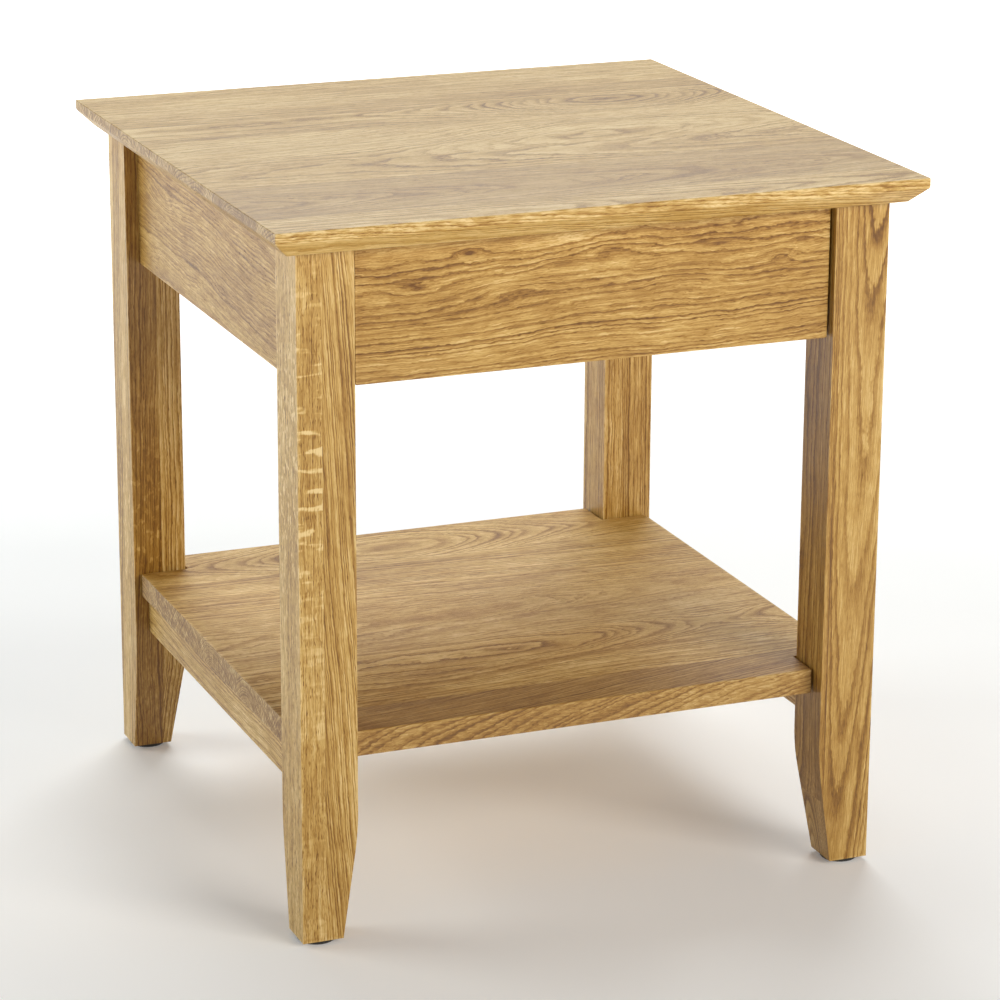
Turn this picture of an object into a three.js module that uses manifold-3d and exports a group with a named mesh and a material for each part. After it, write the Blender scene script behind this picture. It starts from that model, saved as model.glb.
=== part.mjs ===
// Side table with one drawer and a low shelf, in solid oak. Millimetres, +Z up, +Y to the back.
// The origin is on the floor under the middle of the table top; the drawer opens towards -Y.
// The frame is mortised and tenoned, the drawer runs on a pair of ball-bearing slides.

import * as THREE from "three";
import { mergeVertices } from "three/addons/utils/BufferGeometryUtils.js";
import Module from "manifold-3d";

// ---- Driving dimensions ----

const WIDTH = 465;
const DEPTH = 460;
const HEIGHT = 500;
const FIT_GAP = 0.3; // room left round a tenon, a panel or a screw in its hole

const TOP_THICKNESS = 18;
const TOP_BAND = 7; // upright part of the top's edge
const TOP_BEVEL = 11; // how far the bevel under the band runs back
const SIDE_OVERHANG = 20;
const FRONT_OVERHANG = 20;
const REAR_OVERHANG = 15;

const LEG_SIZE = 40;
const FOOT_SIZE = 29; // the two inner faces taper to this at the foot
const TAPER_HEIGHT = 76; // from the foot to where the taper meets the straight face
const TAPER_EASE = 15; // half the length of the curve that softens that meeting

const GLIDE_RADIUS = 13.5;
const GLIDE_THICKNESS = 3;
const GLIDE_PIN_RADIUS = 1.5;
const GLIDE_PIN_LENGTH = 14;
const GLIDE_SEGMENTS = 24;

const APRON_HEIGHT = 96;
const APRON_THICKNESS = 20;
const APRON_INSET = 10; // from the legs' outer faces
const TENON_THICKNESS = 8;
const TENON_LENGTH = 15;
const TENON_SHOULDER = 13;

const FRONT_RAIL_HEIGHT = 18;
const FRONT_RAIL_DEPTH = 50;
const FRONT_RAIL_SETBACK = 27; // behind the legs' front faces
const FRONT_RAIL_TENON = 12;
const FRONT_RAIL_SHOULDER = 3;

const SHELF_TOP = 146;
const SHELF_THICKNESS = 18;
const SHELF_SIDE_INSET = 5;
const SHELF_FRONT_INSET = 12;
const SHELF_REAR_INSET = 9;
const SHELF_LEG_GAP = 1.5;

const LOWER_RAIL_HEIGHT = 29;
const LOWER_RAIL_THICKNESS = 18;
const LOWER_RAIL_INSET = 10.5;
const LOWER_RAIL_SHOULDER = 5;

const FRONT_RECESS = 5; // drawer front behind the legs' front faces
const FRONT_THICKNESS = 20;
const FRONT_SIDE_GAP = 2;
const FRONT_TOP_GAP = 1.5;
const FRONT_HEIGHT = 92;

const SLIDE_THICKNESS = 12.5;
const SLIDE_LENGTH = 350;
const SLIDE_HEIGHT = 35;
const SLIDE_MIDDLE = 430; // height of the slides' centre line
const SLIDE_SHEET = 1.5;
const SLIDE_SETBACK = 1; // behind the drawer front's inner face
const RETAINER_LENGTH = 86;
const RETAINER_SHEET = 0.8;
const RETAINER_START = 132; // from the slide's front end
const SLIDE_SCREW_STATIONS = [37, 294]; // from the slide's front end
const BALL_RADIUS = 2.5;
const BALL_HEIGHT = 13.2; // each row of balls above or below the centre line
const BALL_PITCH = 24;

// The slide's section, measured from the leg's inner face towards the drawer.
const CABINET_DEPTH = 9.5;
const CABINET_LIP = 1.5;
const CABINET_LIP_SHEET = 1;
const RUNNER_DEPTH = 8;
const RUNNER_HALF_HEIGHT = 10.4;
const RETAINER_BACK = 2.9;
const RETAINER_FRONT = 8.7;
const BALL_OUT = 6;

const SPACER_HEIGHT = 40;

const BOX_WALL = 12;
const BOX_HEIGHT = 60;
const BOX_BASE = 400;
const BOX_DEPTH = 350;
const FINGER_COUNT = 6;
const PANEL_THICKNESS = 6;
const PANEL_LIFT = 6; // above the lower edge of the box
const GROOVE_DEPTH = 5;

const BRACKET_LEG = 20;
const BRACKET_WIDTH = 24;
const BRACKET_SHEET = 2;
const BRACKET_PLACES = [-90, 115];

const WOOD_SCREW = { head: 3.75, headHeight: 2, shank: 1.75, length: 14 };
const SCREW_POINT = 3;
const FRONT_SCREW_SPREAD = 100; // from the drawer's middle
const FRONT_SCREW_LEVELS = { lower: 22, upper: 48 }; // above the box's lower edge
const FRONT_SCREW = { head: 4, headHeight: 2.4, shank: 2, length: 26 };
const SLIDE_SCREW = { head: 3.5, headHeight: 1, shank: 1.75, length: 16 };
const RUNNER_SCREW = { head: 3.5, headHeight: 1, shank: 1.75, length: 9.5 };
const SHELF_SCREW = { head: 4, headHeight: 2.4, shank: 2, length: 33 };
const SHELF_SCREW_SINK = 8; // how deep its head sits in the lower rail
const SHELF_SCREW_SPREAD = 100; // from the rail's middle

// ---- Places worked out from them ----

const topUnderside = HEIGHT - TOP_THICKNESS;
const legOuter = WIDTH / 2 - SIDE_OVERHANG;
const legInner = legOuter - LEG_SIZE;
const legFront = -DEPTH / 2 + FRONT_OVERHANG;
const legBack = DEPTH / 2 - REAR_OVERHANG;
const spanFront = legFront + LEG_SIZE;
const spanBack = legBack - LEG_SIZE;
const apronBase = topUnderside - APRON_HEIGHT;
const apronOuter = legOuter - APRON_INSET;
const apronInner = apronOuter - APRON_THICKNESS;
const shelfBase = SHELF_TOP - SHELF_THICKNESS;
const lowerRailBase = shelfBase - LOWER_RAIL_HEIGHT;
const lowerRailOuter = legOuter - LOWER_RAIL_INSET;
const drawerFace = legFront + FRONT_RECESS;
const boxFront = drawerFace + FRONT_THICKNESS;
const boxOuter = legInner - SLIDE_THICKNESS;
const boxInner = boxOuter - BOX_WALL;
const slideFront = boxFront + SLIDE_SETBACK;
const slideScrews = SLIDE_SCREW_STATIONS.map((station) => slideFront + station);
const sides = { left: -1, right: 1 };

// ---- Finishes ----

function finish(color, roughness, metalness = 0) {
  return () => new THREE.MeshStandardMaterial({ color, roughness, metalness });
}

const oak = finish(0xc99b58, 0.5);
const paleOak = finish(0xd8bd8a, 0.6);
const zincSteel = finish(0xb4b7ba, 0.35, 1);
const brightSteel = finish(0xd0d2d4, 0.2, 1);
const darkPlastic = finish(0x2a2522, 0.55);

// ---- Shape helpers ----

const wasm = await Module();
wasm.setup();

function solid(geometry) {
  const bare = geometry.index ? geometry.toNonIndexed() : geometry.clone();
  bare.deleteAttribute("normal");
  bare.deleteAttribute("uv");
  const merged = mergeVertices(bare, 1e-3);
  const vertProperties = new Float32Array(merged.attributes.position.array);
  const triVerts = new Uint32Array(merged.index.array);
  return new wasm.Manifold(new wasm.Mesh({ numProp: 3, vertProperties, triVerts }));
}

function geometryOf(manifold) {
  const mesh = manifold.getMesh();
  const geometry = new THREE.BufferGeometry();
  geometry.setAttribute("position", new THREE.BufferAttribute(mesh.vertProperties, 3));
  geometry.setIndex(new THREE.BufferAttribute(mesh.triVerts, 1));
  geometry.computeVertexNormals();
  return geometry;
}

function cut(geometry, ...tools) {
  return geometryOf(tools.reduce((body, tool) => body.subtract(solid(tool)), solid(geometry)));
}

function join(geometry, ...others) {
  return geometryOf(others.reduce((body, other) => body.add(solid(other)), solid(geometry)));
}

function common(geometry, other) {
  return geometryOf(solid(geometry).intersect(solid(other)));
}

function block([x0, x1], [y0, y1], [z0, z1]) {
  const geometry = new THREE.BoxGeometry(Math.abs(x1 - x0), Math.abs(y1 - y0), Math.abs(z1 - z0));
  return geometry.translate((x0 + x1) / 2, (y0 + y1) / 2, (z0 + z1) / 2);
}

function outline(points) {
  return new THREE.Shape(points.map(([a, b]) => new THREE.Vector2(a, b)));
}

// The outline's two coordinates are X and Y, X and Z, or Y and Z.
function extrudeUp(shape, z0, z1) {
  const geometry = new THREE.ExtrudeGeometry(shape, { depth: z1 - z0, bevelEnabled: false });
  return geometry.translate(0, 0, z0);
}

function extrudeBack(shape, y0, y1) {
  const settings = { depth: y1 - y0, bevelEnabled: false, curveSegments: 6 };
  return new THREE.ExtrudeGeometry(shape, settings).rotateX(Math.PI / 2).translate(0, y1, 0);
}

function extrudeAcross(shape, x0, x1) {
  const settings = { depth: x1 - x0, bevelEnabled: false, curveSegments: 6 };
  const geometry = new THREE.ExtrudeGeometry(shape, settings);
  return geometry.rotateX(Math.PI / 2).rotateZ(Math.PI / 2).translate(x0, 0, 0);
}

const table = new THREE.Group();
const drawer = new THREE.Group();
table.add(drawer);

function addPiece(parent, name, geometry, makeMaterial, place = [0, 0, 0]) {
  const mesh = new THREE.Mesh(geometry, makeMaterial());
  mesh.name = name;
  mesh.position.set(...place);
  parent.add(mesh);
  return mesh;
}

// ---- Screws ----
// A screw's own origin is under its head and its shank points along its own -Y.

const SCREW_SEGMENTS = 10;

// The head has a cross recess.
function screwShape({ head, headHeight, shank, length }) {
  const profile = [
    [0, headHeight],
    [head * 0.6, headHeight],
    [head, headHeight * 0.4],
    [head, 0],
    [shank, 0],
    [shank, SCREW_POINT - length],
    [0, -length],
  ];
  const points = profile.map(([r, y]) => new THREE.Vector2(r, y)).reverse();
  const body = new THREE.LatheGeometry(points, SCREW_SEGMENTS);
  const slot = [-head * 0.5, head * 0.5];
  const bar = [-head * 0.11, head * 0.11];
  const depth = [headHeight * 0.45, headHeight + 1];
  return cut(body, block(slot, depth, bar), block(bar, depth, slot));
}

function aim(object, direction) {
  const from = new THREE.Vector3(0, -1, 0);
  object.quaternion.setFromUnitVectors(from, new THREE.Vector3(...direction));
}

function addScrew(parent, name, size, place, direction) {
  aim(addPiece(parent, name, screwShape(size), zincSteel, place), direction);
}

function screwHole(size, place, direction, extra = 1) {
  const length = size.length + extra;
  const geometry = new THREE.CylinderGeometry(
    size.shank + FIT_GAP, size.shank + FIT_GAP, length, SCREW_SEGMENTS);
  geometry.translate(0, -length / 2 + extra / 2, 0);
  const holder = new THREE.Object3D();
  aim(holder, direction);
  holder.position.set(...place);
  holder.updateMatrix();
  return geometry.applyMatrix4(holder.matrix);
}

// ---- Table top ----

function edgeProfile(halfWidth) {
  return outline([
    [-halfWidth + TOP_BEVEL, 0],
    [halfWidth - TOP_BEVEL, 0],
    [halfWidth, TOP_THICKNESS - TOP_BAND],
    [halfWidth, TOP_THICKNESS],
    [-halfWidth, TOP_THICKNESS],
    [-halfWidth, TOP_THICKNESS - TOP_BAND],
  ]);
}

const bracketFixings = [];
for (const [side, sign] of Object.entries(sides)) {
  BRACKET_PLACES.forEach((y, i) => {
    const label = `${side}_${i ? "rear" : "front"}`;
    const upPlace = [sign * (apronInner - BRACKET_LEG / 2 - 1), y, topUnderside - BRACKET_SHEET];
    const outPlace = [sign * (apronInner - BRACKET_SHEET), y, topUnderside - BRACKET_LEG / 2 - 1];
    bracketFixings.push({ label, side, sign, y, upPlace, outPlace });
  });
}

const topBlank = common(
  extrudeBack(edgeProfile(WIDTH / 2), -DEPTH / 2, DEPTH / 2),
  extrudeAcross(edgeProfile(DEPTH / 2), -WIDTH / 2, WIDTH / 2));
const topHoles = bracketFixings.map(({ upPlace: [x, y, z] }) =>
  screwHole(WOOD_SCREW, [x, y, z - topUnderside], [0, 0, 1]));
addPiece(table, "table_top", cut(topBlank, ...topHoles), oak, [0, 0, topUnderside]);

// ---- Legs and glides ----
// A leg's own origin is its outer corner at the bottom; its inner faces lie inwards from there.

const legLength = topUnderside - GLIDE_THICKNESS;
const taperSlope = (LEG_SIZE - FOOT_SIZE) / TAPER_HEIGHT;

function legProfile(inward) {
  const easeBelow = LEG_SIZE - taperSlope * TAPER_EASE;
  const shape = new THREE.Shape();
  shape.moveTo(0, 0);
  shape.lineTo(inward * FOOT_SIZE, 0);
  shape.lineTo(inward * easeBelow, TAPER_HEIGHT - TAPER_EASE);
  shape.quadraticCurveTo(
    inward * LEG_SIZE, TAPER_HEIGHT, inward * LEG_SIZE, TAPER_HEIGHT + TAPER_EASE);
  shape.lineTo(inward * LEG_SIZE, legLength);
  shape.lineTo(0, legLength);
  shape.closePath();
  return shape;
}

function ordered(a, b) {
  return a < b ? [a, b] : [b, a];
}

// The mortise that a tenon needs: its box, larger by the fit gap on every side.
function mortise(box) {
  return block(...box.map(([low, high]) => [low - FIT_GAP, high + FIT_GAP]));
}

function tenonBand(outer, inner) {
  const middle = (outer + inner) / 2;
  return ordered(middle - TENON_THICKNESS / 2, middle + TENON_THICKNESS / 2);
}

function sideApronTenon(sign) {
  return [
    tenonBand(sign * apronOuter, sign * apronInner),
    [spanFront - TENON_LENGTH, spanBack + TENON_LENGTH],
    [apronBase + TENON_SHOULDER, topUnderside - TENON_SHOULDER],
  ];
}

function lowerRailTenon(sign) {
  return [
    tenonBand(sign * lowerRailOuter, sign * (lowerRailOuter - LOWER_RAIL_THICKNESS)),
    [spanFront - TENON_LENGTH, spanBack + TENON_LENGTH],
    [lowerRailBase + LOWER_RAIL_SHOULDER, shelfBase - LOWER_RAIL_SHOULDER],
  ];
}

const rearApronOuter = legBack - APRON_INSET;
const rearApronTenon = [
  [-legInner - TENON_LENGTH, legInner + TENON_LENGTH],
  tenonBand(rearApronOuter, rearApronOuter - APRON_THICKNESS),
  [apronBase + TENON_SHOULDER, topUnderside - TENON_SHOULDER],
];

const frontRailFace = legFront + FRONT_RAIL_SETBACK;
const frontRailTenon = [
  [-legInner - FRONT_RAIL_TENON, legInner + FRONT_RAIL_TENON],
  [frontRailFace + 1, spanFront - FRONT_RAIL_SHOULDER],
  [topUnderside - FRONT_RAIL_HEIGHT + FRONT_RAIL_SHOULDER, topUnderside - FRONT_RAIL_SHOULDER],
];

const glideMiddle = FOOT_SIZE / 2;

function glideShape() {
  const profile = [
    [0, 0],
    [GLIDE_RADIUS - 1, 0],
    [GLIDE_RADIUS, 1],
    [GLIDE_RADIUS, GLIDE_THICKNESS],
    [GLIDE_PIN_RADIUS, GLIDE_THICKNESS],
    [GLIDE_PIN_RADIUS, GLIDE_THICKNESS + GLIDE_PIN_LENGTH - SCREW_POINT],
    [0, GLIDE_THICKNESS + GLIDE_PIN_LENGTH],
  ];
  const points = profile.map(([r, y]) => new THREE.Vector2(r, y));
  return new THREE.LatheGeometry(points, GLIDE_SEGMENTS).rotateX(Math.PI / 2);
}

function addLeg(side, sign, end) {
  const atFront = end === "front";
  const inX = -sign;
  const inY = atFront ? 1 : -1;
  const corner = [sign * legOuter, atFront ? legFront : legBack, GLIDE_THICKNESS];
  const blank = common(
    extrudeBack(legProfile(inX), ...ordered(0, inY * LEG_SIZE)),
    extrudeAcross(legProfile(inY), ...ordered(0, inX * LEG_SIZE)));
  const mortises = [
    sideApronTenon(sign),
    lowerRailTenon(sign),
    atFront ? frontRailTenon : rearApronTenon,
  ].map((tenon) => mortise(tenon).translate(-corner[0], -corner[1], -corner[2]));
  const pinHole = new THREE.CylinderGeometry(
    GLIDE_PIN_RADIUS + FIT_GAP, GLIDE_PIN_RADIUS + FIT_GAP, 2 * GLIDE_PIN_LENGTH + 2, SCREW_SEGMENTS);
  pinHole.rotateX(Math.PI / 2).translate(inX * glideMiddle, inY * glideMiddle, 0);
  addPiece(table, `leg_${end}_${side}`, cut(blank, ...mortises, pinHole), oak, corner);
  const glidePlace = [corner[0] + inX * glideMiddle, corner[1] + inY * glideMiddle, 0];
  addPiece(table, `glide_${end}_${side}`, glideShape(), darkPlastic, glidePlace);
}

for (const [side, sign] of Object.entries(sides)) {
  addLeg(side, sign, "front");
  addLeg(side, sign, "rear");
}

// ---- Aprons, rails and slide spacers ----

const spacerBase = SLIDE_MIDDLE - SPACER_HEIGHT / 2;

function slideScrewPlace(sign, y) {
  return [sign * (legInner - SLIDE_SHEET), y, SLIDE_MIDDLE];
}

function slideScrewHoles(sign) {
  return slideScrews.map((y) => screwHole(SLIDE_SCREW, slideScrewPlace(sign, y), [sign, 0, 0]));
}

function addSidePieces(side, sign) {
  const apron = block(
    [sign * apronInner, sign * apronOuter], [spanFront, spanBack], [apronBase, topUnderside]);
  const bracketHoles = bracketFixings.filter((fixing) => fixing.side === side).map(
    ({ outPlace }) => screwHole(WOOD_SCREW, outPlace, [sign, 0, 0]));
  const wholeApron = join(apron, block(...sideApronTenon(sign)));
  const drilled = cut(wholeApron, ...bracketHoles, ...slideScrewHoles(sign));
  addPiece(table, `side_apron_${side}`, drilled, oak);

  const spacer = block(
    [sign * legInner, sign * apronInner], [spanFront, spanBack],
    [spacerBase, spacerBase + SPACER_HEIGHT]);
  addPiece(table, `slide_spacer_${side}`, cut(spacer, ...slideScrewHoles(sign)), paleOak);

  const railInner = lowerRailOuter - LOWER_RAIL_THICKNESS;
  const rail = block(
    [sign * railInner, sign * lowerRailOuter], [spanFront, spanBack], [lowerRailBase, shelfBase]);
  const railHoles = shelfScrewPlaces(sign).flatMap((place) => [
    screwHole(SHELF_SCREW, place, [0, 0, 1]),
    screwPocket(place),
  ]);
  const wholeRail = join(rail, block(...lowerRailTenon(sign)));
  addPiece(table, `lower_rail_${side}`, cut(wholeRail, ...railHoles), oak);
}

function shelfScrewPlaces(sign) {
  const x = sign * (lowerRailOuter - LOWER_RAIL_THICKNESS / 2);
  const middle = (spanFront + spanBack) / 2;
  const z = lowerRailBase + SHELF_SCREW_SINK;
  return [-SHELF_SCREW_SPREAD, SHELF_SCREW_SPREAD].map((y) => [x, middle + y, z]);
}

function screwPocket([x, y, z]) {
  const radius = SHELF_SCREW.head + 1;
  const height = 2 * SHELF_SCREW_SINK;
  const pocket = new THREE.CylinderGeometry(radius, radius, height, 16);
  return pocket.rotateX(Math.PI / 2).translate(x, y, z - height / 2);
}

for (const [side, sign] of Object.entries(sides)) {
  addSidePieces(side, sign);
  shelfScrewPlaces(sign).forEach((place, i) => {
    addScrew(table, `shelf_screw_${side}_${i ? "rear" : "front"}`, SHELF_SCREW, place, [0, 0, 1]);
  });
}

const rearApron = block(
  [-legInner, legInner], [rearApronOuter - APRON_THICKNESS, rearApronOuter],
  [apronBase, topUnderside]);
addPiece(table, "rear_apron", join(rearApron, block(...rearApronTenon)), oak);

const frontRail = block(
  [-legInner, legInner], [frontRailFace, frontRailFace + FRONT_RAIL_DEPTH],
  [topUnderside - FRONT_RAIL_HEIGHT, topUnderside]);
addPiece(table, "front_top_rail", join(frontRail, block(...frontRailTenon)), paleOak);

// ---- Top fixing brackets ----

function bracketShape(sign) {
  const angle = outline([
    [0, 0],
    [0, -BRACKET_LEG],
    [-sign * BRACKET_SHEET, -BRACKET_LEG],
    [-sign * BRACKET_SHEET, -BRACKET_SHEET],
    [-sign * BRACKET_LEG, -BRACKET_SHEET],
    [-sign * BRACKET_LEG, 0],
  ]);
  return extrudeBack(angle, -BRACKET_WIDTH / 2, BRACKET_WIDTH / 2);
}

for (const { label, sign, y, upPlace, outPlace } of bracketFixings) {
  const place = [sign * apronInner, y, topUnderside];
  const holes = [
    screwHole(WOOD_SCREW, upPlace, [0, 0, 1]),
    screwHole(WOOD_SCREW, outPlace, [sign, 0, 0]),
  ].map((hole) => hole.translate(-place[0], -place[1], -place[2]));
  addPiece(table, `top_bracket_${label}`, cut(bracketShape(sign), ...holes), zincSteel, place);
  addScrew(table, `top_screw_${label}`, WOOD_SCREW, upPlace, [0, 0, 1]);
  addScrew(table, `apron_screw_${label}`, WOOD_SCREW, outPlace, [sign, 0, 0]);
}

// ---- Shelf ----

const shelfHalf = legOuter - SHELF_SIDE_INSET;
const notchHalf = legInner - SHELF_LEG_GAP;
const shelfFront = legFront + SHELF_FRONT_INSET;
const shelfBack = legBack - SHELF_REAR_INSET;
const notchFront = spanFront + SHELF_LEG_GAP;
const notchBack = spanBack - SHELF_LEG_GAP;
const rightEdge = [
  [notchHalf, shelfFront],
  [notchHalf, notchFront],
  [shelfHalf, notchFront],
  [shelfHalf, notchBack],
  [notchHalf, notchBack],
  [notchHalf, shelfBack],
];
const leftEdge = rightEdge.map(([x, y]) => [-x, y]).reverse();
const shelfBlank = extrudeUp(outline([...rightEdge, ...leftEdge]), 0, SHELF_THICKNESS);
const shelfHoles = Object.values(sides).flatMap(shelfScrewPlaces).map(([x, y, z]) =>
  screwHole(SHELF_SCREW, [x, y, z - shelfBase], [0, 0, 1]));
addPiece(table, "shelf", cut(shelfBlank, ...shelfHoles), oak, [0, 0, shelfBase]);

// ---- Drawer box: finger-jointed corners, the bottom panel let into grooves ----

const fingerHeight = BOX_HEIGHT / FINGER_COUNT;

// A wall's outline with fingers at both ends. Fingers of one parity reach the full half length,
// the others stop a wall's thickness short; a gap keeps the reaching ones clear of their sockets.
function fingeredWall(halfLength, parity, gap) {
  const edge = [];
  for (let i = 0; i < FINGER_COUNT; i += 1) {
    const reaches = i % 2 === parity;
    const end = reaches ? halfLength : halfLength - BOX_WALL;
    const low = i * fingerHeight + (i === 0 ? 0 : reaches ? gap : -gap);
    const isLast = i === FINGER_COUNT - 1;
    const high = (i + 1) * fingerHeight + (isLast ? 0 : reaches ? -gap : gap);
    edge.push([end, low], [end, high]);
  }
  const mirrored = edge.map(([a, b]) => [-a, b]).reverse();
  return outline([...edge, ...mirrored]);
}

const boxMiddle = boxFront + BOX_DEPTH / 2;
const boxBack = boxFront + BOX_DEPTH;
const panelBase = BOX_BASE + PANEL_LIFT;
const groove = block(
  [-boxInner - GROOVE_DEPTH, boxInner + GROOVE_DEPTH],
  [boxFront + BOX_WALL - GROOVE_DEPTH, boxBack - BOX_WALL + GROOVE_DEPTH],
  [panelBase - FIT_GAP, panelBase + PANEL_THICKNESS + FIT_GAP]);

function inPlace(geometry, [x, y, z]) {
  return geometry.clone().translate(-x, -y, -z);
}

function addBoxEnd(name, place, ...holes) {
  const wall = extrudeBack(fingeredWall(boxOuter, 1, FIT_GAP / 2), 0, BOX_WALL);
  const tools = [groove, ...holes].map((tool) => inPlace(tool, place));
  addPiece(drawer, name, cut(wall, ...tools), paleOak, place);
}

function runnerScrewPlace(sign, y) {
  return [sign * (boxOuter + SLIDE_SHEET), y, SLIDE_MIDDLE];
}

function runnerScrewHoles(sign) {
  return slideScrews.map((y) => screwHole(RUNNER_SCREW, runnerScrewPlace(sign, y), [-sign, 0, 0]));
}

const frontScrews = [];
for (const [side, sign] of Object.entries(sides)) {
  for (const [level, rise] of Object.entries(FRONT_SCREW_LEVELS)) {
    const place = [sign * FRONT_SCREW_SPREAD, boxFront + BOX_WALL, BOX_BASE + rise];
    frontScrews.push({ name: `front_screw_${side}_${level}`, place });
  }
}
const frontHoles = frontScrews.map(({ place }) => screwHole(FRONT_SCREW, place, [0, -1, 0]));

addBoxEnd("drawer_box_front", [0, boxFront, BOX_BASE], ...frontHoles);
addBoxEnd("drawer_box_back", [0, boxBack - BOX_WALL, BOX_BASE]);
for (const { name, place } of frontScrews) {
  addScrew(drawer, name, FRONT_SCREW, place, [0, -1, 0]);
}

for (const [side, sign] of Object.entries(sides)) {
  const place = [sign * (boxInner + BOX_WALL / 2), boxMiddle, BOX_BASE];
  const wall = extrudeAcross(
    fingeredWall(BOX_DEPTH / 2, 0, FIT_GAP / 2), -BOX_WALL / 2, BOX_WALL / 2);
  const tools = [groove, ...runnerScrewHoles(sign)].map((tool) => inPlace(tool, place));
  addPiece(drawer, `drawer_side_${side}`, cut(wall, ...tools), paleOak, place);
}

const panelRoom = GROOVE_DEPTH - FIT_GAP;
const panel = block(
  [-boxInner - panelRoom, boxInner + panelRoom],
  [boxFront + BOX_WALL - panelRoom, boxBack - BOX_WALL + panelRoom],
  [0, PANEL_THICKNESS]);
addPiece(drawer, "drawer_bottom", panel, paleOak, [0, 0, panelBase]);

const frontPlace = [0, drawerFace, topUnderside - FRONT_TOP_GAP - FRONT_HEIGHT];
const frontHalf = legInner - FRONT_SIDE_GAP;
const frontBlank = block([-frontHalf, frontHalf], [0, FRONT_THICKNESS], [0, FRONT_HEIGHT]);
const pilotHoles = frontHoles.map((hole) => inPlace(hole, frontPlace));
addPiece(drawer, "drawer_front", cut(frontBlank, ...pilotHoles), oak, frontPlace);

// ---- Ball-bearing slides ----
// Their sections are drawn from the leg's inner face towards the drawer, about the centre line.
// The cabinet channel opens to the drawer, the drawer channel opens to the cabinet, and the
// ball retainer runs between them at half the drawer's speed.

const cabinetRoof = SLIDE_HEIGHT / 2 - SLIDE_SHEET;
const retainerHalf = BALL_HEIGHT + RETAINER_SHEET / 2;

function mirroredSection(upper) {
  const lower = upper.map(([u, z]) => [u, -z]).reverse();
  return [...upper, ...lower];
}

const cabinetSection = mirroredSection([
  [SLIDE_SHEET, cabinetRoof],
  [CABINET_DEPTH - CABINET_LIP_SHEET, cabinetRoof],
  [CABINET_DEPTH - CABINET_LIP_SHEET, cabinetRoof - CABINET_LIP],
  [CABINET_DEPTH, cabinetRoof - CABINET_LIP],
  [CABINET_DEPTH, SLIDE_HEIGHT / 2],
  [0, SLIDE_HEIGHT / 2],
]);

const runnerSection = mirroredSection([
  [SLIDE_THICKNESS, RUNNER_HALF_HEIGHT],
  [SLIDE_THICKNESS - RUNNER_DEPTH, RUNNER_HALF_HEIGHT],
  [SLIDE_THICKNESS - RUNNER_DEPTH, RUNNER_HALF_HEIGHT - SLIDE_SHEET],
  [SLIDE_THICKNESS - SLIDE_SHEET, RUNNER_HALF_HEIGHT - SLIDE_SHEET],
]);

const retainerSection = mirroredSection([
  [RETAINER_BACK, retainerHalf],
  [RETAINER_FRONT, retainerHalf],
  [RETAINER_FRONT, retainerHalf - RETAINER_SHEET],
  [RETAINER_BACK + RETAINER_SHEET, retainerHalf - RETAINER_SHEET],
]);

function slideStrip(section, sign, length) {
  return extrudeBack(outline(section.map(([u, z]) => [-sign * u, z])), 0, length);
}

function retainerBalls(sign) {
  const balls = [];
  for (const row of [-BALL_HEIGHT, BALL_HEIGHT]) {
    for (const step of [-1.5, -0.5, 0.5, 1.5]) {
      const ball = new THREE.OctahedronGeometry(BALL_RADIUS, 1);
      const along = RETAINER_LENGTH / 2 + step * BALL_PITCH;
      balls.push(ball.translate(-sign * BALL_OUT, along, row));
    }
  }
  return balls;
}

for (const [side, sign] of Object.entries(sides)) {
  const place = [sign * legInner, slideFront, SLIDE_MIDDLE];
  const channelHoles = slideScrewHoles(sign).map((hole) => inPlace(hole, place));
  const channel = cut(slideStrip(cabinetSection, sign, SLIDE_LENGTH), ...channelHoles);
  addPiece(table, `slide_cabinet_channel_${side}`, channel, zincSteel, place);

  const runnerHoles = runnerScrewHoles(sign).map((hole) => inPlace(hole, place));
  const runner = cut(slideStrip(runnerSection, sign, SLIDE_LENGTH), ...runnerHoles);
  addPiece(drawer, `slide_drawer_channel_${side}`, runner, zincSteel, place);

  const strip = slideStrip(retainerSection, sign, RETAINER_LENGTH);
  const retainerPlace = [place[0], slideFront + RETAINER_START, SLIDE_MIDDLE];
  const retainer = join(strip, ...retainerBalls(sign));
  addPiece(table, `ball_retainer_${side}`, retainer, brightSteel, retainerPlace);

  slideScrews.forEach((y, i) => {
    const end = i ? "rear" : "front";
    const fixed = slideScrewPlace(sign, y);
    addScrew(table, `slide_screw_${side}_${end}`, SLIDE_SCREW, fixed, [sign, 0, 0]);
    const moving = runnerScrewPlace(sign, y);
    addScrew(drawer, `runner_screw_${side}_${end}`, RUNNER_SCREW, moving, [-sign, 0, 0]);
  });
}

export default table;
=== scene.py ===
import math

import bpy
from mathutils import Matrix, Vector


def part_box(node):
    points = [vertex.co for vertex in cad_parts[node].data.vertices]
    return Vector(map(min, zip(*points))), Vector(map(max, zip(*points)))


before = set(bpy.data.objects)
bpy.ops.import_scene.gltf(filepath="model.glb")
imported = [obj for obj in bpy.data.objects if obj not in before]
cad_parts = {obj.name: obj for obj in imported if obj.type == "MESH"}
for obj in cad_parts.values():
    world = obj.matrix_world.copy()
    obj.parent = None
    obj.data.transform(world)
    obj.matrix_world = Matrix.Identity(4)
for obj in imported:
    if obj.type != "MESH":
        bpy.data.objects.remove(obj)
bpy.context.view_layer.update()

MM = 0.001
PER_METRE = 1000.0


# ---------------------------------------------------------------- mixing finishes

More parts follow.
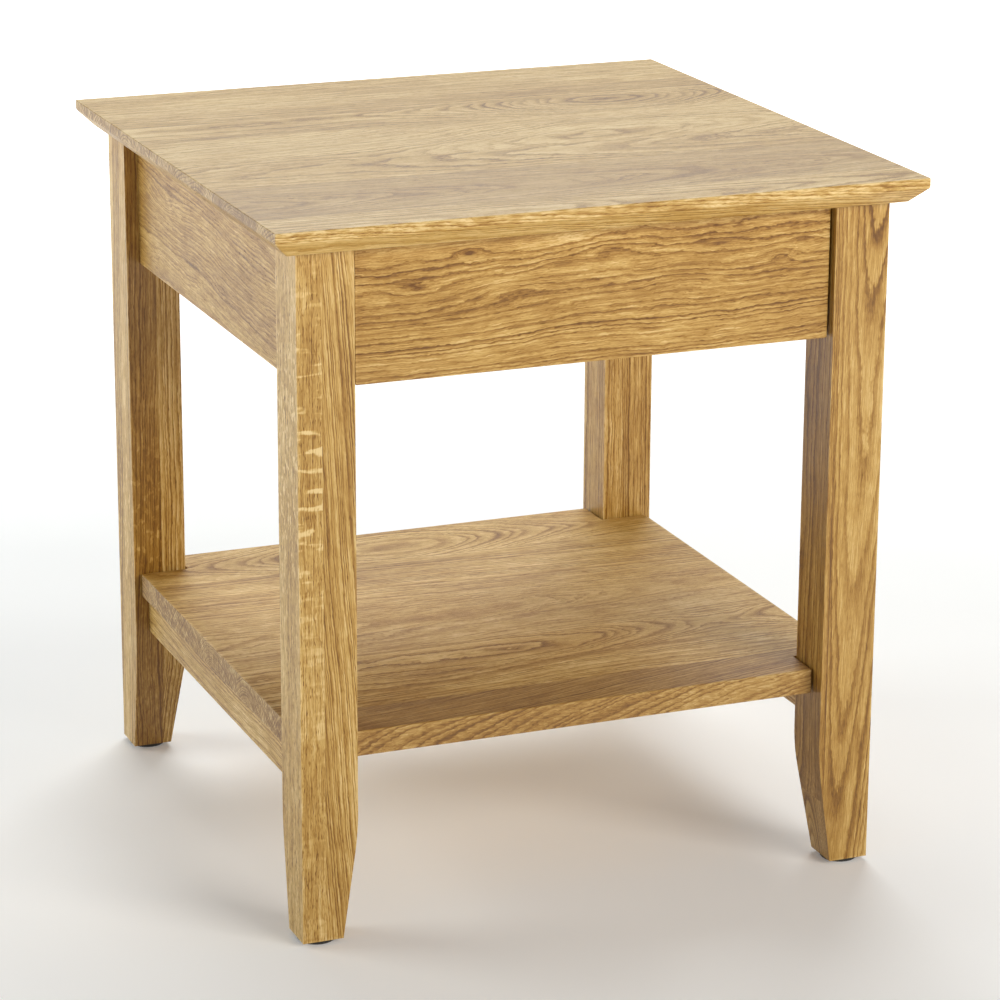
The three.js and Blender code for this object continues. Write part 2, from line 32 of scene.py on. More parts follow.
class Wire:
    """A value running through a finish. Arithmetic on it adds Math nodes."""

    def __init__(self, finish, socket):
        self.finish = finish
        self.socket = socket

    def __add__(self, other):
        return self.finish.math("ADD", self, other)

    __radd__ = __add__

    def __sub__(self, other):
        return self.finish.math("SUBTRACT", self, other)

    def __rsub__(self, other):
        return self.finish.math("SUBTRACT", other, self)

    def __mul__(self, other):
        return self.finish.math("MULTIPLY", self, other)

    __rmul__ = __mul__

    def __truediv__(self, other):
        return self.finish.math("DIVIDE", self, other)

    def __pow__(self, other):
        return self.finish.math("POWER", self, other)

    def out(self, name):
        """Another output of the node that this value comes from."""
        return Wire(self.finish, self.socket.node.outputs[name])

    def past(self, edge):
        """1 above the edge and 0 below it, with no blur."""
        return self.finish.math("GREATER_THAN", self, edge)

    def rise(self, low, high):
        """0 below low, 1 above high, and a smooth climb between them."""
        ends = {"Value": self, "From Min": low, "From Max": high}
        return self.finish.node("ShaderNodeMapRange", {"interpolation_type": "SMOOTHSTEP"}, ends)


class Finish:
    """One material. node() adds any node and hands back one of its outputs as a Wire."""

    def __init__(self, name):
        self.material = bpy.data.materials.new(name)
        self.material.use_nodes = True
        self.tree = self.material.node_tree
        self.tree.nodes.clear()

    def node(self, kind, settings=None, inputs=None, out=0):
        made = self.tree.nodes.new(kind)
        for key, value in (settings or {}).items():
            if key == "stops":
                self.set_stops(made.color_ramp, value)
            else:
                setattr(made, key, value)
        for key, value in (inputs or {}).items():
            if isinstance(value, Wire):
                self.tree.links.new(value.socket, made.inputs[key])
            else:
                made.inputs[key].default_value = value
        return None if out is None else Wire(self, made.outputs[out])

    def set_stops(self, ramp, stops):
        """Each stop is a place and a colour, or a place and a grey."""
        while len(ramp.elements) < len(stops):
            ramp.elements.new(1.0)
        for element, (place, colour) in zip(ramp.elements, stops):
            if not isinstance(colour, tuple):
                colour = (colour, colour, colour)
            element.position = place
            element.color = (*colour, 1.0)

    def math(self, operation, *values):
        return self.node("ShaderNodeMath", {"operation": operation}, dict(enumerate(values)))

    def ramp(self, value, stops):
        return self.node("ShaderNodeValToRGB", {"stops": stops}, {"Fac": value})

    def mix(self, share, below, above, blend="MIX"):
        settings = {"data_type": "RGBA", "blend_type": blend}
        return self.node("ShaderNodeMix", settings, {0: share, 6: below, 7: above}, out=2)

    def noise(self, x, y, z, detail=1.0, rough=0.5, out=0):
        """Cloudy noise about 0.5, with features one unit long in x, y and z."""
        where = self.node("ShaderNodeCombineXYZ", None, {0: x, 1: y, 2: z})
        inputs = {"Vector": where, "Scale": 1.0, "Detail": detail, "Roughness": rough}
        return self.node("ShaderNodeTexNoise", None, inputs, out)

    def noise_line(self, w, detail=0.0):
        settings = {"noise_dimensions": "1D"}
        return self.node("ShaderNodeTexNoise", settings, {"W": w, "Scale": 1.0, "Detail": detail})

    def place(self):
        """The point on the piece in millimetres, as three wires."""
        point = self.node("ShaderNodeTexCoord", out="Object")
        apart = self.node("ShaderNodeSeparateXYZ", None, {0: point})
        return [apart.out(axis) * PER_METRE for axis in "XYZ"]

    def bump(self, height, depth_mm):
        inputs = {"Height": height, "Distance": depth_mm * MM, "Strength": 1.0}
        return self.node("ShaderNodeBump", None, inputs)

    def surface(self, **sockets):
        """Ends the material in one shader. Spaces in its socket names are written as underscores."""
        inputs = {key.replace("_", " "): value for key, value in sockets.items()}
        shader = self.node("ShaderNodeBsdfPrincipled", None, inputs)
        self.node("ShaderNodeOutputMaterial", None, {"Surface": shader}, out=None)
        return self.material


# ---------------------------------------------------------------- oak

# One stave of oak, in millimetres from the middle of its board: t along the grain, then a and b,
# the two ways across it. heart is where the middle of the trunk lies, lean how far that shifts
# for each millimetre along, and taper how fast the rings close in. swell bows the rings about
# crown, within reach, into ovals. ring is the width of a year. depth darkens, umber greys, lines
# brings out the years, pore the open pores, and fleck the rays near fleck_at. wander, ripple and
# fray bend the lines. edge is the glue line where the stave starts.
STAVE = {
    "edge": -1000.0, "heart_a": 0.0, "heart_b": -60.0, "lean_a": 0.0, "lean_b": 0.0,
    "taper": 0.0, "swell": 0.0, "crown": 0.0, "reach": 100.0, "ring": 2.6, "depth": 0.0,
    "umber": 0.0, "lines": 1.0, "fleck": 0.0, "fleck_at": 0.0, "wander": 6.0, "ripple": 0.8,
    "fray": 0.6, "pore": 1.0, "seed": 0.0,
}
AXES = {"x": (0, 1, 2), "y": (1, 2, 0), "z": (2, 0, 1)}

OAK_TONES = [
    (0.00, (0.78, 0.58, 0.27)),
    (0.25, (0.58, 0.365, 0.105)),
    (0.50, (0.40, 0.214, 0.040)),
    (0.75, (0.255, 0.117, 0.016)),
    (1.00, (0.150, 0.060, 0.008)),
]
UMBER = (0.30, 0.185, 0.105, 1.0)

# How open the wood is through one year, from its spring to the next.
YEAR_SHAPE = [
    (0.00, 0.70), (0.08, 1.00), (0.22, 0.62), (0.45, 0.22), (0.75, 0.05), (0.93, 0.12), (1.00, 0.60),
]

# How much each feature darkens the oak, on the scale of OAK_TONES.
CLEAR_OAK = 0.235
RING_DARK = 0.50
FIBRE_DARK = 1.20
PORE_DARK = 0.40
RAY_PALE = 0.36
CLOUD_DARK = 0.50
BLOTCH_DARK = 0.28
# Arrises are painted paler: partly wear, and partly a painted highlight like the sheen on rounded
# edges.
WEAR_AND_HIGHLIGHT_PALE = 0.10

# The same on end grain, where the cut pores drink more oil.
END_DARK = 0.20
END_BLOTCH_DARK = 0.6
END_RING_DARK = 0.40
END_RAY_PALE = 0.5
END_GREY = 0.32

SWAY_GREY = 0.05
FLECK_SPREAD_MM = 80
FLECK_ELSEWHERE = 0.16
GRAIN_DEPTH_MM = 0.10
OILED_ROUGH = 0.40


def stave(**changes):
    return {**STAVE, **changes}


def by_stave(staves, edges, key):
    """The value of one key, changing at each glue line."""
    value = staves[0][key]
    for left, right, edge in zip(staves, staves[1:], edges):
        step = right[key] - left[key]
        if step:
            value = edge * step + value
    return value


def bell(finish, far_squared):
    """1 at the middle, falling softly to 0."""
    return finish.math("EXPONENT", far_squared * -1.0)


# This mask marks where the oak is painted paler, partly as wear and partly as a painted highlight,
# and a little glossier.
def corner_wear_and_highlight(finish, spot, half):
    """1 along the board's long arrises and corners, 0 away from them."""
    gaps = [h - finish.math("ABSOLUTE", s) for s, h in zip(spot, half)]
    least = finish.math("MINIMUM", gaps[0], gaps[1])
    most = finish.math("MAXIMUM", gaps[0], gaps[1])
    second = finish.math("MAXIMUM", least, finish.math("MINIMUM", most, gaps[2]))
    return 1 - second.rise(0.4, 2.2)


def swirl_sums(finish, along, across, swirls):
    """How far the swirls lift the rings, and how dark they are.

    A swirl is its place along and across, its length, width and height, and its darkness.
    """
    lift = 0.0
    stain = 0.0
    for at_along, at_across, long, wide, height, dark in swirls:
        far = ((along - at_along) / long) ** 2 + ((across - at_across) / wide) ** 2
        near = bell(finish, far)
        lift = near * height + lift
        stain = near ** 2 * dark + stain
    return lift, stain


def trunk_place(finish, t, a, b, pick, sway):
    """How far the point is from the heart of the tree, and how far round it.

    The turn is counted from the line that joins the heart to the board, so it never jumps
    inside the board.
    """
    seed = pick["seed"]
    from_a = a - pick["heart_a"] - t * pick["lean_a"] + (sway.out("X") - 0.5) * pick["wander"] * 2
    from_b = b - pick["heart_b"] - t * pick["lean_b"] + (sway.out("Y") - 0.5) * pick["wander"] * 2
    bow = (1 - bell(finish, ((t - pick["crown"]) / pick["reach"]) ** 2)) * pick["swell"]
    ripple = finish.noise(t / 26, a / 13 + seed, b / 13, detail=1.0) - 0.5
    fray = finish.noise(t / 5 + seed, a / 2.2, b / 2.2, detail=1.0) - 0.5
    radius = (from_a ** 2 + from_b ** 2) ** 0.5 + t * pick["taper"] + bow
    radius = radius + ripple * pick["ripple"] * 2 + fray * pick["fray"] * 2
    beside = from_b * pick["heart_a"] - from_a * pick["heart_b"]
    ahead = 0 - from_a * pick["heart_a"] - from_b * pick["heart_b"]
    return radius, finish.math("ARCTAN2", beside, ahead) * 60


def year_rings(finish, radius, ring, seed):
    """1 on the open early wood of each year, fading to 0 in its late wood."""
    years = radius / ring + seed * 3.7
    years = years + finish.noise_line(years * 0.45) * 1.6
    strong = finish.noise_line(years * 0.30 + 40) * 1.2 + 0.15
    return finish.ramp(finish.math("FRACT", years), YEAR_SHAPE) * strong


def fleck_rays(finish, radius, turn, t, pick):
    """Pale rays, which run out from the heart and crowd about fleck_at."""
    ray = finish.noise(radius / 22, turn / 1.8, t / 6.5 + pick["seed"], detail=2.0).rise(0.54, 0.66)
    near = bell(finish, ((t - pick["fleck_at"]) / FLECK_SPREAD_MM) ** 2)
    return ray * (near + FLECK_ELSEWHERE) * pick["fleck"]


def facing_end(finish, axis):
    """1 where the surface is cut across the grain."""
    normal = finish.node("ShaderNodeTexCoord", out="Normal")
    facing = finish.node("ShaderNodeSeparateXYZ", None, {0: normal})
    return finish.math("ABSOLUTE", facing.out("XYZ"[axis])).rise(0.6, 0.9)


def oak(name, board, grain, staves, joined="b", swirls=(), swirl_side="a", pale_face=(),
        pale=0.0, rough=OILED_ROUGH):
    """Oak cut from a trunk, so that faces, edges and end grain all agree.

    grain is the axis that the fibres follow, joined the way across which the staves lie, and
    swirl_side the way across which the swirls are placed. pale_face is the a below which the
    wood is paler, by how much, and how patchy. pale lightens the whole board.
    """
    finish = Finish(name)
    low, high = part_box(board)
    middle = (low + high) * 0.5 * PER_METRE
    half = (high - low) * 0.5 * PER_METRE
    point = finish.place()
    order = AXES[grain]
    t, a, b = [point[i] - middle[i] for i in order]
    across = {"a": a, "b": b}
    edges = [across[joined].past(s["edge"]) for s in staves[1:]]
    pick = {key: by_stave(staves, edges, key) for key in STAVE if key != "edge"}
    seed = pick["seed"]

    drift = finish.noise(t / 190 + seed, a / 70, b / 70, detail=1.0, out="Color")
    sway = finish.node("ShaderNodeSeparateXYZ", None, {0: drift})
    radius, turn = trunk_place(finish, t, a, b, pick, sway)
    lift, stain = swirl_sums(finish, t, across[swirl_side], swirls)
    radius = radius + lift
    ring = year_rings(finish, radius, pick["ring"], seed)

    fibre = finish.noise(radius / 0.9, turn / 0.9, t / 26 + seed, detail=3.0, rough=0.65)
    pores = finish.noise(radius / 0.55, turn / 0.55, t / 5 + seed).rise(0.54, 0.72)
    pores = pores * (ring * 0.7 + 0.35)
    ray = fleck_rays(finish, radius, turn, t, pick)
    streak = finish.noise(radius / 9, turn / 0.9, t / 30 + seed, detail=1.0).rise(0.50, 0.62)
    cloud = finish.noise(t / 120 + seed, a / 26, b / 26, detail=1.5) - 0.5
    blotch = finish.noise(t / 16, a / 6 + seed, b / 6, detail=2.0) - 0.5
    wear_and_highlight = corner_wear_and_highlight(finish, (t, a, b), [half[i] for i in order])
    end_grain = facing_end(finish, order[0])

    shade = ring * pick["lines"] * RING_DARK + (fibre - 0.5) * FIBRE_DARK
    shade = shade + pores * pick["pore"] * PORE_DARK - ray * RAY_PALE
    shade = shade + cloud * CLOUD_DARK + blotch * BLOTCH_DARK + stain
    # The arrises are lightened, partly as wear and partly as a painted highlight.
    shade = shade + pick["depth"] + CLEAR_OAK - wear_and_highlight * WEAR_AND_HIGHLIGHT_PALE - pale
    end_shade = blotch * END_BLOTCH_DARK + ring * END_RING_DARK - streak * END_RAY_PALE + END_DARK
    shade = shade + end_grain * end_shade
    if pale_face:
        face_at, paler, patchy = pale_face
        shade = shade - (1 - a.past(face_at)) * (paler - blotch * patchy)
    greyness = sway.out("Z").rise(0.45, 0.75) * SWAY_GREY + pick["umber"] + end_grain * END_GREY
    colour = finish.mix(greyness, finish.ramp(shade, OAK_TONES), UMBER)

    height = fibre * 0.5 - pores * 0.8 - ring * 0.35
    gloss = pores * 0.16 + blotch * 0.10 + rough - wear_and_highlight * 0.05
    normal = finish.bump(height, GRAIN_DEPTH_MM)
    return finish.surface(Base_Color=colour, Roughness=gloss, Normal=normal, IOR=1.5)


# ---------------------------------------------------------------- metal and plastic

def rolled_zinc():
    """Zinc-plated sheet, drawn along y through the rolls, with a cloudy bloom."""
    finish = Finish("zinc_plated_steel")
    x, y, z = finish.place()
    drawn = finish.noise(x / 0.5, y / 60, z / 0.5, detail=2.0)
    bloom = finish.noise(x / 14, y / 14, z / 14, detail=3.0, rough=0.6)
    tone = bloom * 0.7 + drawn * 0.3
    colour = finish.ramp(tone, [(0.3, (0.46, 0.48, 0.50)), (0.7, (0.66, 0.67, 0.68))])
    gloss = 0.24 + drawn * 0.12 + bloom * 0.14
    normal = finish.bump(drawn, 0.02)
    return finish.surface(Base_Color=colour, Roughness=gloss, Metallic=1.0, Normal=normal)


def screw_zinc():
    finish = Finish("screw_steel")
    x, y, z = finish.place()
    bloom = finish.noise(x / 3, y / 3, z / 3, detail=3.0, rough=0.6)
    colour = finish.ramp(bloom, [(0.3, (0.50, 0.47, 0.40)), (0.7, (0.68, 0.65, 0.58))])
    gloss = 0.22 + bloom * 0.18
    normal = finish.bump(bloom, 0.03)
    return finish.surface(Base_Color=colour, Roughness=gloss, Metallic=1.0, Normal=normal)


def bearing_steel():
    finish = Finish("ball_steel")
    x, y, z = finish.place()
    bloom = finish.noise(x / 5, y / 5, z / 5, detail=2.0)
    colour = finish.ramp(bloom, [(0.3, (0.58, 0.58, 0.58)), (0.7, (0.76, 0.76, 0.75))])
    gloss = 0.12 + bloom * 0.10
    return finish.surface(Base_Color=colour, Roughness=gloss, Metallic=1.0)


def glide_plastic():
    finish = Finish("dark_plastic")
    x, y, z = finish.place()
    grain = finish.noise(x / 0.5, y / 0.5, z / 0.5, detail=2.0)
    scuff = finish.noise(x / 6, y / 6, z / 2, detail=3.0, rough=0.65).rise(0.45, 0.7)
    colour = finish.mix(scuff * 0.6, (0.020, 0.019, 0.018, 1.0), (0.060, 0.055, 0.050, 1.0))
    gloss = 0.42 + scuff * 0.20
    normal = finish.bump(grain, 0.04)
    return finish.surface(Base_Color=colour, Roughness=gloss, Normal=normal)


# ---------------------------------------------------------------- boards

def top_oak():
    staves = [
        stave(heart_a=-225, heart_b=-30, lean_a=0.05, taper=0.05, ring=2.8, depth=-0.10, ripple=1.4,
              seed=1.3),
        stave(edge=-192, heart_a=-150, heart_b=-26, taper=0.06, ring=2.0, depth=0.03, umber=0.12,
              ripple=2.0, lines=0.9, seed=2.7),
        stave(edge=-100, heart_a=-62, heart_b=-50, lean_a=0.03, taper=-0.04, ring=2.8, depth=-0.07,
              ripple=1.2, seed=4.1),
        stave(edge=-43, heart_a=-30, heart_b=-40, lean_a=0.10, swell=16, crown=70, reach=110,
              ring=3.0, depth=-0.10, ripple=1.8, lines=0.8, wander=10, seed=5.9),
        stave(edge=57, heart_a=97, heart_b=-22, swell=34, crown=130, reach=95, ring=3.0,
              depth=-0.06, ripple=1.4, wander=5, lines=1.1, seed=7.2),
        stave(edge=112, heart_a=60, heart_b=-40, taper=0.02, ring=2.8, ripple=1.2, seed=8.8),
        stave(edge=152, heart_a=240, heart_b=-50, taper=0.01, ring=3.4, depth=-0.07, lines=0.6,
              seed=9.4),
    ]
    swirls = [(-182, 62, 42, 3, 0, 0.30), (-60, 76, 26, 8, 4, 0.10), (60, 150, 60, 2, 0, 0.16)]
    return oak("top_oak", "table_top", "x", staves, joined="a", swirls=swirls,
               pale_face=(-229.4, -0.02, 0.7))


def shelf_oak():
    """The front stave is dark, and its rings slant across both of its faces."""
    staves = [
        stave(heart_a=-275, heart_b=-42, lean_a=0.20, ring=2.6, depth=0.17, umber=0.22, lines=1.2,
              ripple=1.2, seed=11.5),
        stave(edge=-160, heart_a=-90, heart_b=-70, taper=0.02, ring=3.0, depth=-0.04, umber=0.06,
              seed=12.2),
        stave(edge=-112, heart_a=-82, heart_b=-24, swell=-20, crown=150, reach=90, depth=-0.03,
              ripple=1.6, seed=13.9),
        stave(edge=-62, heart_a=-10, heart_b=-70, taper=0.02, umber=0.08, lines=0.7, seed=14.6),
        stave(edge=-18, heart_a=-2, heart_b=-26, lean_a=0.03, taper=0.04, ring=2.0, ripple=1.6,
              lines=0.7, seed=15.3),
        stave(edge=45, heart_a=-20, heart_b=-60, lean_a=-0.03, taper=0.02, ring=3.2, depth=-0.02,
              seed=16.1),
        stave(edge=132, heart_a=164, heart_b=-24, swell=30, crown=-12, reach=120, ring=3.0,
              depth=-0.04, wander=4, ripple=0.6, seed=17.8),
    ]
    swirls = [(-120, -150, 120, 26, 0, 0.15)]
    return oak("shelf_oak", "shelf", "x", staves, joined="a", swirls=swirls,
               pale_face=(-201.4, 0.08, 0.0), rough=0.52)


def drawer_front_oak():
    """One board with a row of small knots near its upper edge."""
    staves = [
        stave(heart_a=44, heart_b=62, lean_b=0.02, ring=3.4, depth=0.08, wander=9, ripple=1.3,
              fray=0.8, seed=21.4),
    ]
    swirls = [
        (-91, 36, 10, 3.5, 3, 0.36),
        (-25, 23, 16, 3, 2, 0.30),
        (35, 16, 14, 4, -3, 0.20),
        (90, 28, 18, 3.5, 2.5, 0.38),
        (134, 16, 12, 6, 4, 0.16),
        (-30, 40, 40, 6, -2, -0.20),
        (20, -45, 60, 3, 0, 0.20),
        (-60, 8, 22, 6, 4, 0.0),
        (62, 4, 24, 6, 3, 0.06),
        (150, 25, 10, 3, 2, 0.28),
        (-128, 14, 18, 5, -3, 0.0),
        (8, 30, 20, 4, 3, 0.14),
    ]
    return oak("drawer_front_oak", "drawer_front", "x", staves, swirls=swirls, swirl_side="b")


def leg_front_left_oak():
    """Two laminations, the left one sawn on the quarter, so that its rays show as flecks."""
    staves = [
        stave(heart_a=-96, heart_b=-22, ring=2.2, depth=-0.02, lines=0.6, fleck=1.4, fleck_at=98,
              wander=3, ripple=1.2, pore=2.0, seed=31.2),
        stave(edge=-3, heart_a=-70, heart_b=-14, lean_a=-0.07, ring=2.2, depth=-0.01, wander=4,
              lines=1.3, fray=0.35, seed=32.7),
    ]
    return oak("leg_front_left_oak", "leg_front_left", "z", staves, joined="a")


def leg_front_right_oak():
    """A thin lamination on the inside, darkened as painted shade on the leg's inner face, and a
    flame figure on the front.
    """
    staves = [
        # This thin lamination's depth of 0.22 is painted shade on the inner face, not the wood's own
        # tone.
        stave(heart_a=-70, heart_b=24, ring=2.2, depth=0.22, wander=4, lines=1.2, fray=0.4,
              seed=35.2),
        stave(edge=-15.5, heart_a=4, heart_b=7, lean_a=0.04, taper=-0.03, ring=2.5, depth=0.04,
              wander=3, lines=1.1, fray=0.35, ripple=0.6, seed=34.1),
    ]
    swirls = [(-150, 10, 26, 4, 1, 0.22), (-205, 13, 20, 3, 0, 0.22)]
    return oak("leg_front_right_oak", "leg_front_right", "z", staves, joined="a", swirls=swirls)


def leg_rear_left_oak():
    """A light lamination, and a left one darkened as painted shade for the shadow on its front face
    beside the apron. Its outer face is lifted back by the same amount, so that face is not darkened.
    """
    staves = [
        # This lamination's depth of 0.30 is painted shade, not the wood's own tone.
        stave(heart_a=-80, heart_b=40, lean_a=0.03, ring=2.2, depth=0.30, fleck=0.55, fleck_at=-60,
              wander=4, fray=0.4, seed=36.3),
        stave(edge=2, heart_a=60, heart_b=30, ring=2.0, depth=-0.04, wander=4, lines=1.3, fray=0.4,
              seed=37.6),
    ]
    # pale_face lifts the outer face back by the painted shade's 0.30, so the shade stays on the
    # front and back faces.
    return oak("leg_rear_left_oak", "leg_rear_left", "z", staves, joined="a",
               pale_face=(-19.4, 0.30, 0.0))


def leg_rear_right_oak():
    staves = [
        stave(heart_a=-70, heart_b=30, ring=2.2, depth=0.02, wander=4, lines=1.2, fray=0.4,
              seed=38.3),
        stave(edge=-4, heart_a=80, heart_b=-30, ring=2.4, depth=0.08, wander=4, lines=1.2,
              fray=0.4, seed=39.9),
    ]
    return oak("leg_rear_right_oak", "leg_rear_right", "z", staves, joined="a")


def side_apron_left_oak():
    staves = [
        stave(heart_a=-60, heart_b=40, lean_a=0.05, ring=2.4, depth=0.12, lines=0.7, wander=9,
              ripple=1.3, seed=41.8),
    ]
    swirls = [(110, 12, 34, 10, 5, 0.0)]
    return oak("side_apron_left_oak", "side_apron_left", "y", staves, swirls=swirls)


def side_apron_right_oak():
    staves = [stave(heart_a=50, heart_b=-34, lean_a=-0.03, ring=2.8, wander=7, seed=43.1)]
    return oak("side_apron_right_oak", "side_apron_right", "y", staves)


def rear_apron_oak():
    staves = [
        stave(heart_a=-30, heart_b=-56, lean_b=0.04, ring=3.0, depth=0.02, wander=8, seed=45.6),
    ]
    return oak("rear_apron_oak", "rear_apron", "x", staves)


def lower_rail_oak(side, seed):
    board = "lower_rail_" + side
    staves = [stave(heart_a=50, heart_b=24, lean_a=0.03, seed=seed)]
    return oak(board + "_oak", board, "y", staves)


def inner_oak(board, grain, seed, heart_a, heart_b):
    """The unoiled oak of the pieces that nobody sees until the drawer is pulled."""
    staves = [stave(heart_a=heart_a, heart_b=heart_b, seed=seed)]
    return oak(board + "_oak", board, grain, staves, pale=0.12, rough=0.58)


# ---------------------------------------------------------------- giving each part its finish

OILED_ARRIS_MM = 1.1
INNER_ARRIS_MM = 0.7
TOP_ARRIS_MM = 0.8
ARRIS_SEGMENTS = 3
ARRIS_FROM_DEG = 35
WELD_MM = 0.01

# Board, the axis of its grain, its seed, and where the heart of its trunk lies.
INNER_BOARDS = [
    ("front_top_rail", "x", 51.0, -60, -20),
    ("drawer_box_front", "x", 52.3, 30, 60),
    ("drawer_box_back", "x", 53.9, -30, 50),
    ("drawer_side_left", "y", 54.4, -50, 34),
    ("drawer_side_right", "y", 55.7, 60, -30),
    ("drawer_bottom", "x", 56.2, 40, -50),
    ("slide_spacer_left", "y", 57.8, -40, 30),
    ("slide_spacer_right", "y", 58.1, 40, -30),
]


def set_finish(node, material):
    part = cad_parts[node]
    for slot in part.material_slots:
        slot.material = material


def soften_edges(node, width_mm):
    """Rounds every arris, as sandpaper does."""
    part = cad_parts[node]
    weld = part.modifiers.new("weld", "WELD")
    weld.merge_threshold = WELD_MM * MM
    bevel = part.modifiers.new("arris", "BEVEL")
    bevel.width = width_mm * MM
    bevel.segments = ARRIS_SEGMENTS
    bevel.limit_method = "ANGLE"
    bevel.angle_limit = math.radians(ARRIS_FROM_DEG)
    even = part.modifiers.new("even_light", "WEIGHTED_NORMAL")
    even.keep_sharp = False


def finish_board(node, material, arris_mm):
    set_finish(node, material)
    soften_edges(node, arris_mm)


def finish_oiled_oak():
    finish_board("table_top", top_oak(), TOP_ARRIS_MM)
    oiled = {
        "shelf": shelf_oak(),
        "drawer_front": drawer_front_oak(),
        "leg_front_left": leg_front_left_oak(),
        "leg_front_right": leg_front_right_oak(),
        "leg_rear_left": leg_rear_left_oak(),
        "leg_rear_right": leg_rear_right_oak(),
        "side_apron_left": side_apron_left_oak(),
        "side_apron_right": side_apron_right_oak(),
        "rear_apron": rear_apron_oak(),
        "lower_rail_left": lower_rail_oak("left", 47.2),
        "lower_rail_right": lower_rail_oak("right", 48.5),
    }
    for board, material in oiled.items():
        finish_board(board, material, OILED_ARRIS_MM)
    return {"table_top", *oiled}


def finish_inner_oak():
    for board, grain, seed, heart_a, heart_b in INNER_BOARDS:
        finish_board(board, inner_oak(board, grain, seed, heart_a, heart_b), INNER_ARRIS_MM)
    return {row[0] for row in INNER_BOARDS}


def finish_metal_and_plastic(wooden):
    """Everything that is not wood: screws, slides, ball retainers, brackets and glides."""
    zinc = rolled_zinc()
    screws = screw_zinc()
    balls = bearing_steel()
    plastic = glide_plastic()
    for node in sorted(set(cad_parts) - wooden):
        if "screw" in node:
            set_finish(node, screws)
        elif "retainer" in node:
            set_finish(node, balls)
        elif "glide" in node:
            set_finish(node, plastic)
        else:
            set_finish(node, zinc)


# ---------------------------------------------------------------- studio

FLOOR_HALF = 30.0
# The strength of the floor's glow, and how far from the table's middle it starts to rise and reaches
# full strength.
FLOOR_GLOW = 0.9
FLOOR_DIM_MM = 600.0
FLOOR_BRIGHT_MM = 2600.0

WORLD_LIGHT = 0.20
WARM = (1.0, 0.945, 0.86)
DAYLIGHT = (0.97, 1.0, 0.96)
COOL = (0.95, 0.99, 1.0)
NEUTRAL = (1.0, 1.0, 1.0)
LOW_AIM = (0, 0, 0.25)
HIGH_AIM = (0, 0, 0.4)

LENS_MM = 134.2
SENSOR_MM = 36.0
CLIP_START = 0.05
CAMERA_TURN_DEG = 22.0
CAMERA_TIP_DEG = 17.37
CAMERA_ROLL_DEG = 0.30
CAMERA_DISTANCE = 2.7019
CAMERA_RIGHT = 0.0127
CAMERA_DOWN = 0.0173
TABLE_MIDDLE = Vector((0, 0, 0.25))


def floor_paint():
    """Matt white that glows, though it is no lamp: faintly by the table and fully far from it, so
    that the background goes white while the shadow by the table stays. The glow also lights the
    table a little.
    """
    finish = Finish("studio_floor")
    x, y, z = finish.place()
    mottle = finish.noise(x / 300, y / 300, z, detail=2.0)
    colour = finish.ramp(mottle, [(0.3, 0.82), (0.7, 0.86)])
    # The glow rises with distance from the table.
    away = ((x ** 2 + y ** 2) ** 0.5).rise(FLOOR_DIM_MM, FLOOR_BRIGHT_MM)
    glow = finish.ramp(away, [(0.0, 0.155), (1.0, 1.0)])
    return finish.surface(Base_Color=colour, Roughness=0.9, Specular_IOR_Level=0.1,
                          Emission_Color=glow, Emission_Strength=FLOOR_GLOW)


def studio_floor():
    mesh = bpy.data.meshes.new("studio_floor")
    corners = [(x * FLOOR_HALF, y * FLOOR_HALF, 0) for x, y in ((-1, -1), (1, -1), (1, 1), (-1, 1))]
    mesh.from_pydata(corners, [], [(0, 1, 2, 3)])
    floor = bpy.data.objects.new("studio_floor", mesh)
    bpy.context.scene.collection.objects.link(floor)
    floor.data.materials.append(floor_paint())


def softbox(name, place, aim, size, strength, tint, glossy=True):
    """A rectangular diffuser in metres. glossy is whether its sheen shows on the oil."""
    light = bpy.data.lights.new(name, "AREA")
    light.color = tint
    light.shape = "RECTANGLE"
    light.size, light.size_y = size
    light.energy = strength * math.pi * size[0] * size[1]
    lamp = bpy.data.objects.new(name, light)
    lamp.location = place
    lamp.rotation_euler = (Vector(aim) - Vector(place)).to_track_quat("-Z", "Y").to_euler()
    lamp.visible_camera = False
    lamp.visible_glossy = glossy
    bpy.context.scene.collection.objects.link(lamp)


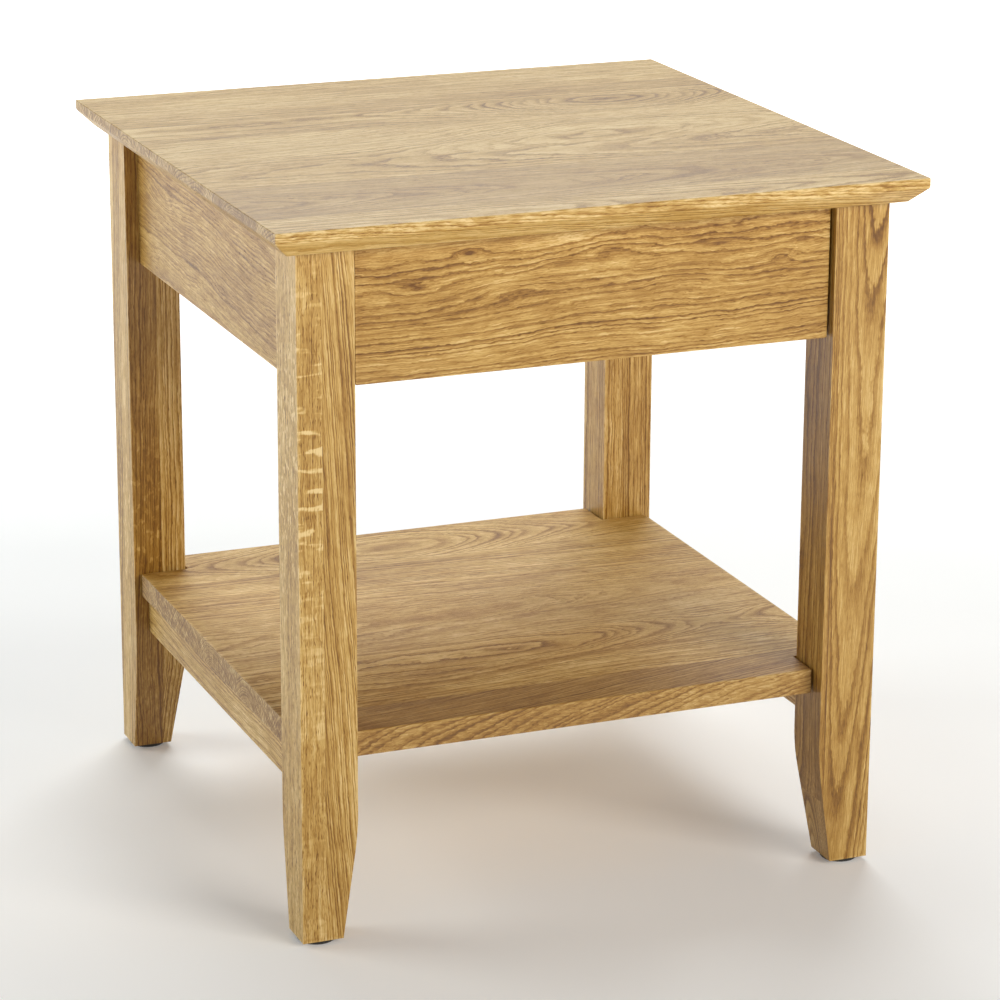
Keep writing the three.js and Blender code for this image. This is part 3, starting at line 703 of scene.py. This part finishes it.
def studio_light():
    world = bpy.data.worlds.new("studio")
    world.use_nodes = True
    background = world.node_tree.nodes["Background"]
    background.inputs["Color"].default_value = (*NEUTRAL, 1.0)
    background.inputs["Strength"].default_value = WORLD_LIGHT
    bpy.context.scene.world = world
    softbox("front_softbox", (1.5, -3.0, 1.5), LOW_AIM, (2.0, 1.4), 8.9, WARM, glossy=False)
    softbox("left_softbox", (-3.0, 1.6, 1.6), LOW_AIM, (2.0, 1.6), 4.8, DAYLIGHT)
    softbox("rear_softbox", (0.78, 2.35, 2.8), HIGH_AIM, (2.4, 1.5), 7.4, COOL)
    softbox("backdrop", (0.6, 4.4, 1.6), HIGH_AIM, (5.0, 2.4), 0.3, NEUTRAL)


def studio_camera():
    """From the front left and above, looking at the middle of the table."""
    turn = math.radians(CAMERA_TURN_DEG)
    tip = math.radians(CAMERA_TIP_DEG)
    roll = math.radians(CAMERA_ROLL_DEG)
    across = Vector((math.cos(turn), -math.sin(turn), 0))
    ahead = Vector((math.sin(turn), math.cos(turn), 0))
    forward = ahead * math.cos(tip) - Vector((0, 0, 1)) * math.sin(tip)
    upright = ahead * math.sin(tip) + Vector((0, 0, 1)) * math.cos(tip)
    right = across * math.cos(roll) + upright * math.sin(roll)
    up = upright * math.cos(roll) - across * math.sin(roll)
    place = TABLE_MIDDLE + right * CAMERA_RIGHT - up * CAMERA_DOWN - forward * CAMERA_DISTANCE

    view = bpy.data.cameras.new("camera")
    view.lens = LENS_MM
    view.sensor_width = SENSOR_MM
    view.clip_start = CLIP_START
    camera = bpy.data.objects.new("camera", view)
    camera.matrix_world = Matrix((
        (right.x, up.x, -forward.x, place.x),
        (right.y, up.y, -forward.y, place.y),
        (right.z, up.z, -forward.z, place.z),
        (0, 0, 0, 1),
    ))
    scene = bpy.context.scene
    scene.collection.objects.link(camera)
    scene.camera = camera
    scene.view_settings.view_transform = "Standard"
    scene.view_settings.look = "None"


wooden = finish_oiled_oak() | finish_inner_oak()
finish_metal_and_plastic(wooden)
studio_floor()
studio_light()
studio_camera()
